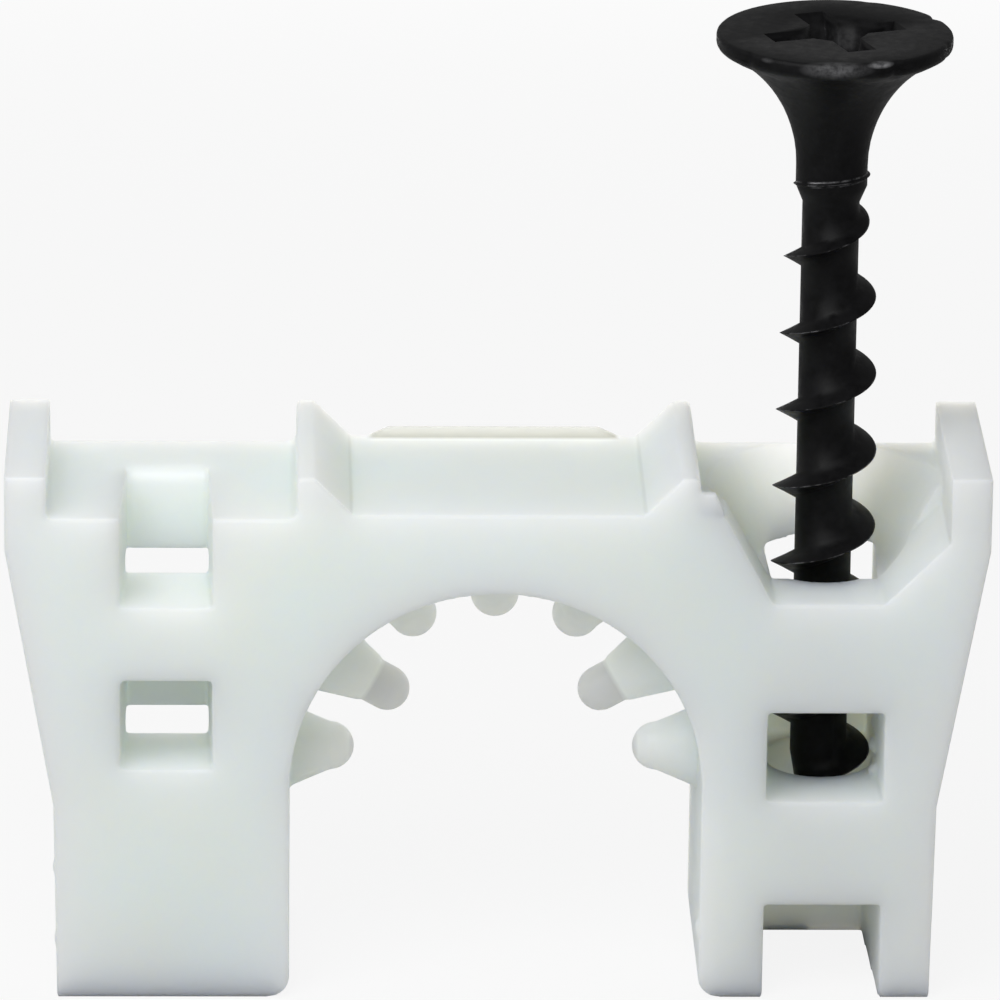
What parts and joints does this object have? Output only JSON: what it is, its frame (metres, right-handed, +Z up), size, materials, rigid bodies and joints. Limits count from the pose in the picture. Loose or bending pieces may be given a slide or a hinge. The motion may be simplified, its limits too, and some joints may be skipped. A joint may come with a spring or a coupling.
{
  "type": "stackable cable strap",
  "caption": "Stackable nylon strap that arches over electrical cables, with flexible gripping fingers under the arch, a captive bugle-head screw and a stepped pilot for stacking.",
  "frame": {"origin": "middle of the strap on the plane of its feet", "axes": "+X along the strap from the pilot leg to the screw leg, +Y through the strap to the back, +Z up along the screw"},
  "size_m": [0.0342, 0.0086, 0.0343],
  "materials": {
    "natural_nylon": "milky natural nylon, satin, slightly translucent",
    "black_phosphate": "satin black phosphate, worn bright on the edges"
  },
  "bodies": {
    "strap": {"strap_body": "natural_nylon"},
    "screw": {"mounting_screw": "black_phosphate"}
  },
  "joints": [
    {"name": "screw_drive", "type": "slide", "parent": "strap", "child": "screw", "axis": [0, 0, -1], "range_m": [0, 0.0158]}
  ]
}
